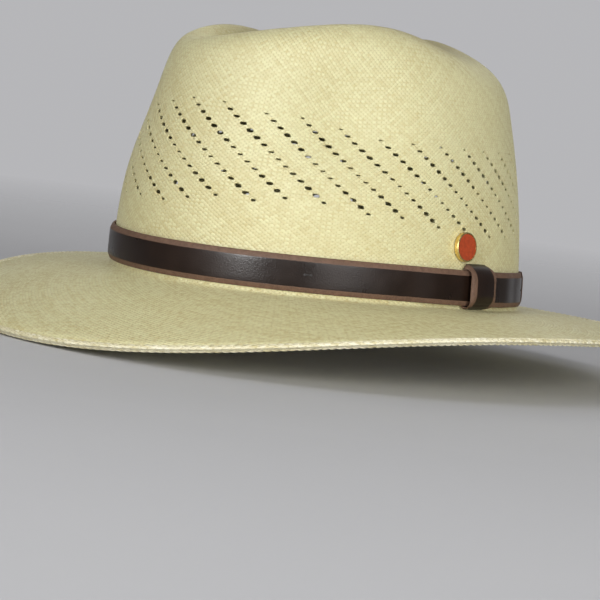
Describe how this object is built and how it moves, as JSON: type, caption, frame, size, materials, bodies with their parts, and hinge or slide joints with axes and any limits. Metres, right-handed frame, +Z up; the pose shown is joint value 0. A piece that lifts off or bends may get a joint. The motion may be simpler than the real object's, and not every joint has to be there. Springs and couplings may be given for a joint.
{
  "type": "panama hat",
  "caption": "Woven straw sun hat with a pinched teardrop crown, wide brim, dark leather band with keeper and enamel badge, and a leather sweatband inside.",
  "frame": {"origin": "centre of the head opening, on the plane where the crown breaks into the brim", "axes": "+Z up the crown, -Y towards the front of the brim, +X towards the wearer's left"},
  "size_m": [0.3095, 0.3436, 0.153],
  "materials": {
    "toquilla_straw": "satin woven straw",
    "dark_leather": "semi-gloss with raw bevelled edges",
    "brown_thread": "waxed thread",
    "gilt_brass": "polished",
    "red_enamel": "gloss",
    "sweatband_leather": "matt",
    "reed": "satin",
    "cream_thread": "matt thread",
    "cotton_tape": "matt",
    "satin_ribbon": "satin",
    "paper_label": "matt"
  },
  "bodies": {
    "hat": {"straw_body": "toquilla_straw", "hat_band": "dark_leather", "band_lap_stitches": "brown_thread", "band_tack_stitches": "brown_thread", "sweatband": "sweatband_leather", "sweatband_reed": "reed", "sweatband_stitches": "cream_thread", "sweatband_joint_tape": "cotton_tape", "sweatband_bow": "satin_ribbon", "size_label": "paper_label"},
    "keeper": {"band_keeper": "dark_leather", "keeper_seam_stitches": "brown_thread"},
    "badge": {"badge_cup": "gilt_brass", "badge_enamel": "red_enamel", "badge_post": "gilt_brass"},
    "clutch": {"badge_clutch": "gilt_brass"}
  },
  "joints": [
    {"name": "keeper_slide", "type": "hinge", "parent": "hat", "child": "keeper", "pos_m": [-0.03614, 0.0001, 0], "axis": [0, 0, 1], "range_deg": [-5, 5]},
    {"name": "badge_turn", "type": "hinge", "parent": "hat", "child": "badge", "pos_m": [0.08341, 0.00669, 0.0299], "axis": [0.9906, 0.0549, 0.1249], "continuous": true},
    {"name": "clutch_pull", "type": "slide", "parent": "badge", "child": "clutch", "axis": [-0.9906, -0.0549, -0.1249], "range_m": [0, 0.009]}
  ]
}
